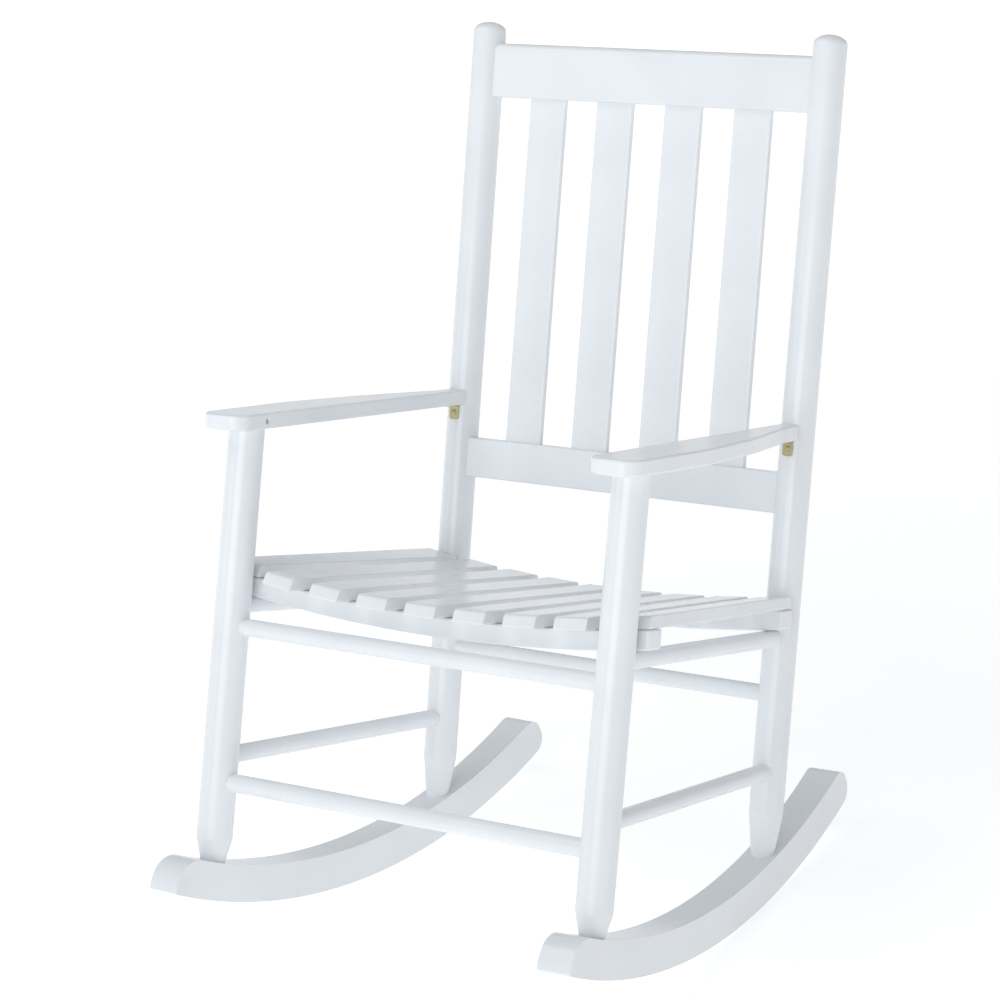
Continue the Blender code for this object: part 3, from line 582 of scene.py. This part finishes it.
class CHAIR_OT_finishes(bpy.types.Operator):
    """Make the paint and metal materials"""
    bl_idname = "chair.finishes"
    bl_label = "Paint and metal finishes"

    def execute(self, context):
        finish = context.scene.chair_finish
        paint_film_group()
        fine_scratch_group()
        across, lengthwise = 340.0, 9.0
        paint_material("white_paint_on_turnings", (across, across, lengthwise))
        paint_material("white_paint_on_boards", (lengthwise, across, across))
        paint_material("white_paint_along_y", (across, lengthwise, across))
        metal_material("plated_brass", finish.brass, 0.28)
        metal_material("screw_steel", finish.steel, 0.32)
        return {"FINISHED"}


# ---- turned pieces ----
def foot_profile(radius, taper, length):
    """Foot of a post, from its socket up to its shoulder."""
    turn = [(FOOT_RADIUS, FOOT_SOCKET, 0), (radius, FOOT_SOCKET + taper, FOOT_SHOULDER_ROUND),
            (radius, length, 0)]
    curve = rounded(turn, 6)
    return [(0, 0), (FOOT_RADIUS, 0)] + [(p.x, p.y) for p in curve[:-1]]


def make_front_post(side, word):
    s = sizes()
    up = along(front_axis)
    base = front_axis(side, foot_height(front_axis, side)) - up * FOOT_SOCKET
    top = front_axis(side, s.arm_height + FRONT_POST_LET_IN)
    length = (top - base).length
    profile = foot_profile(s.front_post_radius, FRONT_FOOT_TAPER, length)
    profile += [(s.front_post_radius, length), (0, length)]
    post = turned("painted_front_post_" + word, profile, "white_paint_on_turnings")
    return fit(post, from_ends(base, top), "front_post_" + word)


def make_back_post(side, word):
    s = sizes()
    top = back_axis(side, s.back_post_top)
    foot = back_axis(side, foot_height(back_axis, side))
    base = foot - (top - foot).normalized() * FOOT_SOCKET
    length = (top - base).length
    radius = s.back_post_radius
    profile = foot_profile(radius, BACK_FOOT_TAPER, length)
    for step in range(10):
        angle = math.pi / 2 * step / 10
        profile.append((radius * math.cos(angle), length - POST_DOME * (1 - math.sin(angle))))
    profile.append((0, length))
    post = turned("painted_back_post_" + word, profile, "white_paint_on_turnings")
    return fit(post, from_ends(base, top), "back_post_" + word)


def make_rung(node, start, end, radius, bored_at=()):
    """Dowel between two posts' axes, ending inside them, with rings of points beside any bore."""
    step_in = (end - start).normalized() * TENON
    start, end = start + step_in, end - step_in
    length = (end - start).length
    places = [(place - start).dot(end - start) / length for place in bored_at]
    rings = [0, *[place + gap for place in places for gap in (-0.007, 0.007)], length]
    profile = [(0, 0), *[(radius, ring) for ring in sorted(rings)], (0, length)]
    rung = turned("painted_" + node, profile, "white_paint_on_turnings", RUNG_SIDES)
    return fit(rung, from_ends(start, end), node)


class CHAIR_OT_posts(bpy.types.Operator):
    """Turn the four posts"""
    bl_idname = "chair.posts"
    bl_label = "Posts"

    def execute(self, context):
        for side, word in SIDES:
            make_front_post(side, word)
            make_back_post(side, word)
        return {"FINISHED"}


class CHAIR_OT_rungs(bpy.types.Operator):
    """Turn the rungs between the posts"""
    bl_idname = "chair.rungs"
    bl_label = "Rungs"

    def execute(self, context):
        s = sizes()
        high = s.seat_height - FRONT_UPPER_DROP
        make_rung("front_upper_stretcher", front_axis(-1, high), front_axis(1, high), s.rung_radius - 0.0002)
        make_rung("front_lower_stretcher", front_axis(-1, FRONT_LOWER_HEIGHT),
                  front_axis(1, FRONT_LOWER_HEIGHT), s.rung_radius + 0.0004)
        make_rung("rear_stretcher", back_axis(-1, REAR_RUNG_HEIGHT), back_axis(1, REAR_RUNG_HEIGHT),
                  s.rung_radius - 0.0005)
        front_height = side_rung_height(front_axis, "front", 0.0)
        back_height = side_rung_height(back_axis, "rear", seat_depth())
        slope = (back_height - front_height) / seat_depth()
        for side, word in SIDES:
            make_rung("side_lower_stretcher_" + word, front_axis(side, SIDE_LOWER_HEIGHT),
                      back_axis(side, SIDE_LOWER_HEIGHT), s.rung_radius)
            front_run = seat_origin().y - front_axis(side, front_height).y
            back_run = back_axis(side, back_height).y - seat_point(0, seat_depth(), 0).y
            start = front_axis(side, front_height - slope * front_run)
            end = back_axis(side, back_height + slope * back_run)
            heads = [seat_screw_head(side, "front", 0.0), seat_screw_head(side, "rear", seat_depth())]
            rung = make_rung("side_upper_stretcher_" + word, start, end, s.rung_radius, heads)
            below, above = Vector((0, 0, -0.02)), Vector((0, 0, 0.0002))
            bore(rung, *[(head + below, head + above, BORES["seat"]) for head in heads])
        return {"FINISHED"}


# ---- boards ----
def make_rocker(side, word):
    s = sizes()
    front = front_axis(side, foot_height(front_axis, side))
    back = back_axis(side, foot_height(back_axis, side))
    heading = Vector((back.x - front.x, back.y - front.y, 0)).normalized()
    origin = front + heading * (ROCKER_CENTRE_Y - front.y) / heading.y
    origin.z = s.rocker_radius
    low = arc(s.rocker_radius, -NOSE_ANGLE, TAIL_ANGLE, ROCKER_STEPS)
    high = arc(s.rocker_radius - s.rocker_depth, TAIL_ANGLE, -NOSE_ANGLE, ROCKER_STEPS)
    corners = [(*low[0], 0.003)]
    corners += [(x, y, 0) for x, y in low[1:-4]]        # the arcs stop short of the roundings
    corners += [(*low[-1], TAIL_ROUND), (*high[0], TAIL_ROUND)]
    corners += [(x, y, 0) for x, y in high[4:-6]]
    corners += [(*high[-1], NOSE_ROUND)]
    rocker = board("painted_rocker_" + word, rounded(corners, 8), s.rocker_thickness,
                   "white_paint_along_y", 0.0032)
    rocker.data.transform(chair_matrix() @ from_axes(origin, heading, (0, 0, 1)))
    fit(rocker, chair_matrix().inverted(), "rocker_" + word)
    heads = [(rocker_screw_head(axis, side), along(axis, side)) for axis in (front_axis, back_axis)]
    bore(rocker, *[(head - up * 0.02, head, BORES["rocker"]) for head, up in heads])


class CHAIR_OT_rockers(bpy.types.Operator):
    """Cut the two curved rockers"""
    bl_idname = "chair.rockers"
    bl_label = "Rockers"

    def execute(self, context):
        for side, word in SIDES:
            make_rocker(side, word)
        return {"FINISHED"}


def make_apron(node, back, place):
    """Board dished from side to side that the seat slats lie on."""
    half = slat_x(SLAT_COUNT - 1, place) + sizes().slat_width / 2 + APRON_OVERRUN
    reach = [half * (2 * i / APRON_STEPS - 1) for i in range(APRON_STEPS + 1)]
    low = [(x, dish(place) * x * x - APRON_DEPTH) for x in reach]
    high = [(x, dish(place) * x * x) for x in reversed(reach)]
    apron = board("painted_" + node, low + high, APRON_THICKNESS, "white_paint_on_boards", 0.003)
    upright = Matrix.Rotation(-SEAT_PITCH, 3, "X") @ Vector((0, 0, 1))
    return fit(apron, from_axes(seat_point(0, back, 0), (1, 0, 0), upright), node)


def make_seat_slat(index):
    """Straight slat with a slanted, rounded front end, banked with the dish."""
    s = sizes()
    front_x, rear_x = slat_x(index, "front"), slat_x(index, "rear")
    start = seat_point(front_x, 0, SEAT_DISH * front_x ** 2)
    end = seat_point(rear_x, seat_depth(), dish("rear") * rear_x ** 2)
    nose = -APRON_THICKNESS / 2 - SLAT_OVERHANG
    tail = seat_depth() + APRON_THICKNESS / 2 + SLAT_TAIL
    if index in (0, SLAT_COUNT - 1):
        nose = CLEARANCE - APRON_THICKNESS / 2
        back_face = back_axis(1, s.seat_height).y - s.back_post_radius
        tail = (back_face - 4 * CLEARANCE - seat_origin().y) / math.cos(SEAT_PITCH)
    thick = s.slat_thickness
    outline = rounded([(nose, 0, 0.0015), (tail, 0, 0.0015), (tail, thick, 0.004),
                       (nose + SLAT_NOSE_SLANT, thick, 0.006)], 6)
    node = f"seat_slat_{index + 1}"
    slat = board("painted_" + node, outline, s.slat_width, "white_paint_on_boards", 0.0042)
    bank = math.atan(2 * SEAT_DISH * front_x)
    turn = Matrix.Rotation(-SEAT_PITCH, 3, "X") @ Matrix.Rotation(-bank, 3, "Y")
    up = turn @ Vector((0, 0, 1))
    lift = CLEARANCE + SEAT_DISH * (s.slat_width / 2) ** 2
    return fit(slat, from_axes(start + up * lift, end - start, up), node)


class CHAIR_OT_seat(bpy.types.Operator):
    """Make the dished seat of slats on two aprons"""
    bl_idname = "chair.seat"
    bl_label = "Seat"

    def execute(self, context):
        make_apron("seat_apron_front", 0.0, "front")
        make_apron("seat_apron_rear", seat_depth(), "rear")
        for index in range(SLAT_COUNT):
            make_seat_slat(index)
        return {"FINISHED"}


def back_matrix():
    """The plane of the back, leaning with the back posts."""
    return Matrix.Translation((0, BACK_POST_Y, 0)) @ Matrix.Rotation(-BACK_POST_LEAN, 4, "X")


def make_rail(node):
    low, high, top_round = RAILS[node]
    middle = (low + high) / 2
    reach = back_axis(1, middle).x - 0.006
    section = rounded(rectangle(sizes().rail_thickness, high - low, top_round, 0.003), 8)
    rail = board("painted_" + node, section, 2 * reach, "white_paint_on_turnings", 0.001)
    place = from_axes((0, 0, middle), (0, 1, 0), (0, 0, 1))
    return fit(rail, back_matrix() @ place, node)


def make_back_slat(index):
    s = sizes()
    low = RAILS["back_rail_lower"][1] - TENON
    high = RAILS["back_rail_upper"][0] + TENON
    x = (index - (BACK_SLAT_COUNT - 1) / 2) * BACK_SLAT_SHARE * s.back_post_spread
    section = rounded(rectangle(s.back_slat_width, s.back_slat_thickness, 0.003, 0.003), 6)
    node = f"back_slat_{index + 1}"
    slat = board("painted_" + node, section, high - low, "white_paint_on_turnings", 0.0008)
    return fit(slat, back_matrix() @ Matrix.Translation((x, 0, (low + high) / 2)), node)


class CHAIR_OT_back(bpy.types.Operator):
    """Make the back's two rails and its upright slats"""
    bl_idname = "chair.back"
    bl_label = "Back"

    def execute(self, context):
        for node in RAILS:
            make_rail(node)
        for index in range(BACK_SLAT_COUNT):
            make_back_slat(index)
        return {"FINISHED"}


def make_arm(side, word):
    """Flat arm, wide and round in front, narrowing to the back post."""
    s = sizes()
    pivot = front_axis(side, s.arm_height)
    meeting = back_axis(side, s.arm_height + s.arm_thickness / 2)
    tail = meeting.y - s.back_post_radius + ARM_LAP - pivot.y
    front, rear = s.front_post_spread / 2, s.back_post_spread / 2
    corners = [(front - ARM_INNER, -s.arm_overhang, 0.024), (front + ARM_OUTER, -s.arm_overhang, 0.024),
               (front + ARM_OUTER, ARM_OUTER_STRAIGHT, 0.35), (front + ARM_WAIST, ARM_WAIST_BACK, 0.25),
               (rear + ARM_REAR_OUTER, tail - 0.035, 0.05), (rear + ARM_REAR_OUTER, tail, 0.010),
               (rear - ARM_REAR_INNER, tail, 0.004)]
    corners = [(x * side, y, radius) for x, y, radius in corners]
    if side < 0:
        corners.reverse()
    arm = board("painted_arm_" + word, rounded(corners, 12), s.arm_thickness, "white_paint_along_y", 0.004)
    place = Matrix.Translation(arm_point(0, pivot.y, s.arm_thickness / 2)) @ Matrix.Rotation(ARM_RISE, 4, "X")
    fit(arm, place, "arm_" + word)
    inner, outer = arm_screw_line(side)
    reach = (outer - inner) * 0.2
    bore(arm, (inner - reach, inner + reach, BORES["arm"]))


class CHAIR_OT_arms(bpy.types.Operator):
    """Make the two arms"""
    bl_idname = "chair.arms"
    bl_label = "Arms"

    def execute(self, context):
        for side, word in SIDES:
            make_arm(side, word)
        return {"FINISHED"}


# ---- fittings ----
def rocker_screw_head(axis, side):
    foot = axis(side, foot_height(axis, side))
    return foot - along(axis, side) * (sizes().rocker_depth - 0.007)


def seat_screw_head(side, place, back):
    s = sizes()
    y = seat_point(0, back, 0).y
    front, rear = front_axis(side, s.seat_height), back_axis(side, s.seat_height)
    share = (y - front.y) / (rear.y - front.y)
    axis = front_axis if place == "front" else back_axis
    height = side_rung_height(axis, place, back)
    return Vector((front.x + share * (rear.x - front.x), y, height - s.rung_radius + 0.0022))


def arm_screw_line(side):
    """From an arm's inner edge to the middle of the front post."""
    s = sizes()
    y = front_axis(side, s.arm_height).y
    height = s.arm_height + s.arm_thickness / 2
    inner = side * (s.front_post_spread / 2 - ARM_INNER)
    return Vector((inner, y, height)), Vector((inner + side * 0.030, y, height))


def make_screw(node, head, tip, kind):
    """Screw with a low domed head, a cross recess and a plain shank; a pin is the same without the recess."""
    head_radius, head_height, shank = SCREWS[kind]
    material = {"bracket": "plated_brass", "pin": "white_paint_on_turnings"}.get(kind, "screw_steel")
    length = (tip - head).length
    profile = [(0, 0)]
    for step in range(1, 9):
        angle = math.pi / 2 * step / 8
        profile.append((head_radius * math.sin(angle), 0.55 * head_height * (1 - math.cos(angle))))
    profile += [(head_radius, head_height), (shank, head_height), (shank, length - 2 * shank), (0, length)]
    screw = turned("fitted_" + node, profile, material, 40)
    if kind != "pin":
        cross = bmesh.new()
        for turn in (0, math.pi / 2):
            bar = bmesh.ops.create_cube(cross, size=1.0)["verts"]
            bmesh.ops.scale(cross, vec=(head_radius * 1.25, head_radius * 0.26, head_height * 1.3), verts=bar)
            bmesh.ops.rotate(cross, cent=(0, 0, 0), matrix=Matrix.Rotation(turn, 3, "Z"), verts=bar)
        cut_out(screw, cross, Matrix())
    return fit(screw, from_ends(head, tip), node)


def make_bracket(side, word):
    """Angle bracket under an arm's rear end with its two screws."""
    s = sizes()
    leg, sheet = BRACKET_LEG, BRACKET_SHEET
    axis = back_axis(side, s.arm_height)
    up = along(back_axis, side)
    up.x = 0
    up.normalize()
    face = axis.y - s.back_post_radius / math.cos(BACK_POST_LEAN) - CLEARANCE
    corner = arm_point(axis.x, face, -CLEARANCE)
    corner.y += (corner.z - s.arm_height) * math.tan(BACK_POST_LEAN)
    forward = Vector((0, -math.cos(ARM_RISE), -math.sin(ARM_RISE)))
    normal = Vector((0, -up.z, up.y))
    below = Vector((0, -forward.z, forward.y))
    inside = normal * sheet + below * sheet
    path = [(Vector(), 0.0012), (forward * leg, 0), (forward * leg + below * sheet, 0), (inside, 0.0025),
            (normal * sheet - up * leg, 0), (-up * leg, 0)]
    outline = rounded([(p.y, p.z, radius) for p, radius in path], 6)
    bracket = board("fitted_arm_bracket_" + word, outline, BRACKET_WIDTH, "plated_brass", 0.0004)
    bracket.modifiers.clear()
    round_corners(bracket, forward * leg, -up * leg)
    ease_edges(bracket, 0.0003, 2, math.radians(50))
    fit(bracket, from_axes(corner, (0, 1, 0), (0, 0, 1)), "arm_bracket_" + word)
    proud = sheet + SCREWS["bracket"][1]
    arm_head = corner + forward * 0.012 + below * proud
    make_screw("bracket_arm_screw_" + word, arm_head, arm_head - below * 0.014, "bracket")
    post_head = corner - up * 0.0105 + normal * proud
    make_screw("bracket_post_screw_" + word, post_head, post_head - normal * 0.016, "bracket")


def round_corners(bracket, first_tip, second_tip):
    """Round the four outer corners of an angle bracket's two legs."""
    shape = bmesh.new()
    shape.from_mesh(bracket.data)
    corners = set()
    for edge in shape.edges:
        a, b = (v.co for v in edge.verts)
        through_sheet = abs(a.z - b.z) < WELD and abs((a - b).length - BRACKET_SHEET) < BRACKET_SHEET / 5
        for tip in (first_tip, second_tip):
            off = ((a + b) / 2).xy - tip.yz
            if through_sheet and off.length < 1.25 * BRACKET_SHEET:
                corners.add(edge)
    bmesh.ops.bevel(shape, geom=list(corners), offset=BRACKET_CORNER, segments=5, profile=0.5, affect="EDGES")
    shape.to_mesh(bracket.data)
    shape.free()
    bracket.data.shade_smooth()
    bracket.data.set_sharp_from_angle(angle=math.radians(30))


class CHAIR_OT_fittings(bpy.types.Operator):
    """Fit the brackets, screws and pins"""
    bl_idname = "chair.fittings"
    bl_label = "Brackets and screws"

    def execute(self, context):
        s = sizes()
        for side, word in SIDES:
            make_bracket(side, word)
            inner, outer = arm_screw_line(side)
            sunk = inner + (outer - inner) * 0.12
            make_screw("arm_screw_" + word, sunk, outer, "arm")
            for place, axis in (("front", front_axis), ("back", back_axis)):
                head = rocker_screw_head(axis, side)
                tip = head + along(axis, side) * (s.rocker_depth + 0.007)
                make_screw(f"rocker_screw_{place}_{word}", head, tip, "rocker")
            for place, back in (("front", 0.0), ("rear", seat_depth())):
                head = seat_screw_head(side, place, back)
                make_screw(f"seat_screw_{place}_{word}", head, head + Vector((0, 0, 0.03)), "seat")
            for node, (low, high, _) in RAILS.items():
                middle = (low + high) / 2
                outward = Vector((side, -1, 0)).normalized()
                centre = Vector((back_axis(side, middle).x, 0, middle))
                head = back_matrix() @ (centre + outward * (s.back_post_radius + 0.0001))
                tip = back_matrix() @ (centre - outward * 0.009)
                make_screw(f"{node}_pin_{word}", head, tip, "pin")
        return {"FINISHED"}


# ---- studio ----
CAMERA_PLACE = (2.546, -4.039, 1.095)
CAMERA_YAW = math.radians(34.0)
CAMERA_PITCH = math.radians(6.91)
CAMERA_ROLL = math.radians(2.474)
CAMERA_LENS = 131.77                # millimetres
SOFTBOXES = {                       # place, width, height, power
    "front_softbox": ((1.6, -9.4, 3.3), 7.0, 3.2, 225),
    "left_strip": ((-4.6, -5.0, 1.8), 0.7, 3.0, 14),
    "right_softbox": ((5.6, -2.6, 1.4), 2.4, 2.0, 7),
    "top_softbox": ((-1.2, -1.4, 4.4), 2.6, 2.6, 36),
}
SOFTBOX_TARGET = Vector((0, 0, 0.5))


def camera_matrix():
    """Camera's place and turn in the level chair's frame."""
    yaw, pitch, roll = CAMERA_YAW, CAMERA_PITCH, CAMERA_ROLL
    forward = Vector((-math.sin(yaw) * math.cos(pitch), math.cos(yaw) * math.cos(pitch), -math.sin(pitch)))
    level = Vector((math.cos(yaw), math.sin(yaw), 0))
    up = level.cross(forward)
    right = level * math.cos(roll) + up * math.sin(roll)
    top = up * math.cos(roll) - level * math.sin(roll)
    turn = Matrix((right, top, -forward)).transposed().to_4x4()
    return Matrix.Translation(CAMERA_PLACE) @ turn


def add_softbox(name, place, width, height, power):
    light = bpy.data.lights.new(name, "AREA")
    light.shape = "RECTANGLE"
    light.size, light.size_y = width, height
    light.energy = power
    light.color = (0.94, 0.99, 1.0)
    lamp = bpy.data.objects.new(name, light)
    bpy.context.scene.collection.objects.link(lamp)
    lamp.location = place
    lamp.rotation_euler = (SOFTBOX_TARGET - Vector(place)).to_track_quat("-Z", "Y").to_euler()


def add_floor():
    shape = bmesh.new()
    bmesh.ops.create_circle(shape, cap_ends=True, segments=96, radius=60.0)
    mesh = bpy.data.meshes.new("studio_floor")
    shape.to_mesh(mesh)
    shape.free()
    mesh.materials.append(floor_material())
    floor = bpy.data.objects.new("studio_floor", mesh)
    bpy.context.scene.collection.objects.link(floor)
    floor.location.z = -0.0005


def make_world():
    """Soft fill from all round, seen as plain white behind the floor."""
    world = bpy.data.worlds.new("studio_world")
    world.use_nodes = True
    add, link = node_chain(world.node_tree)
    fill = world.node_tree.nodes["Background"]
    fill.inputs["Color"].default_value = (0.97, 0.985, 1.0, 1.0)
    fill.inputs["Strength"].default_value = 0.50
    seen = add("ShaderNodeBackground")
    seen.inputs["Color"].default_value = (1.0, 1.0, 1.0, 1.0)
    seen.inputs["Strength"].default_value = 1.0
    rays = add("ShaderNodeLightPath")
    mixed = add("ShaderNodeMixShader")
    link(rays.outputs["Is Camera Ray"], mixed.inputs["Fac"])
    link(fill.outputs["Background"], mixed.inputs[1])
    link(seen.outputs["Background"], mixed.inputs[2])
    link(mixed.outputs["Shader"], world.node_tree.nodes["World Output"].inputs["Surface"])
    return world


class CHAIR_OT_studio(bpy.types.Operator):
    """Lay the floor and set up the lights and the camera"""
    bl_idname = "chair.studio"
    bl_label = "Studio"

    def execute(self, context):
        add_floor()
        context.scene.world = make_world()
        for name, softbox in SOFTBOXES.items():
            add_softbox(name, *softbox)
        camera = bpy.data.cameras.new("studio_camera")
        camera.lens = CAMERA_LENS
        camera.sensor_width = 36.0
        camera.clip_end = 200.0
        eye = bpy.data.objects.new("studio_camera", camera)
        context.scene.collection.objects.link(eye)
        eye.matrix_world = chair_matrix() @ camera_matrix()
        context.scene.camera = eye
        context.scene.view_settings.view_transform = "Standard"
        context.scene.view_settings.look = "None"
        return {"FINISHED"}


class CHAIR_PT_panel(bpy.types.Panel):
    """Sizes, colours and steps of the chair"""
    bl_idname = "CHAIR_PT_panel"
    bl_label = "Rocking chair"
    bl_space_type = "VIEW_3D"
    bl_region_type = "UI"
    bl_category = "Chair"

    def draw(self, context):
        for group in (context.scene.chair_sizes, context.scene.chair_finish):
            box = self.layout.box()
            for key in group.bl_rna.properties.keys():
                if key not in ("rna_type", "name"):
                    box.prop(group, key)
        for step in STEPS:
            self.layout.operator(step.bl_idname)


# in the order in which they run
STEPS = (CHAIR_OT_finishes, CHAIR_OT_rockers, CHAIR_OT_posts, CHAIR_OT_rungs, CHAIR_OT_seat, CHAIR_OT_back,
         CHAIR_OT_arms, CHAIR_OT_fittings, CHAIR_OT_studio)
CLASSES = (ChairSizes, ChairFinish, *STEPS, CHAIR_PT_panel)


def register():
    for each in CLASSES:
        bpy.utils.register_class(each)
    bpy.types.Scene.chair_sizes = PointerProperty(type=ChairSizes)
    bpy.types.Scene.chair_finish = PointerProperty(type=ChairFinish)


def unregister():
    del bpy.types.Scene.chair_finish
    del bpy.types.Scene.chair_sizes
    for each in reversed(CLASSES):
        bpy.utils.unregister_class(each)


def main():
    register()
    for step in STEPS:
        space, action = step.bl_idname.split(".")
        getattr(getattr(bpy.ops, space), action)()


if __name__ == "__main__":
    main()
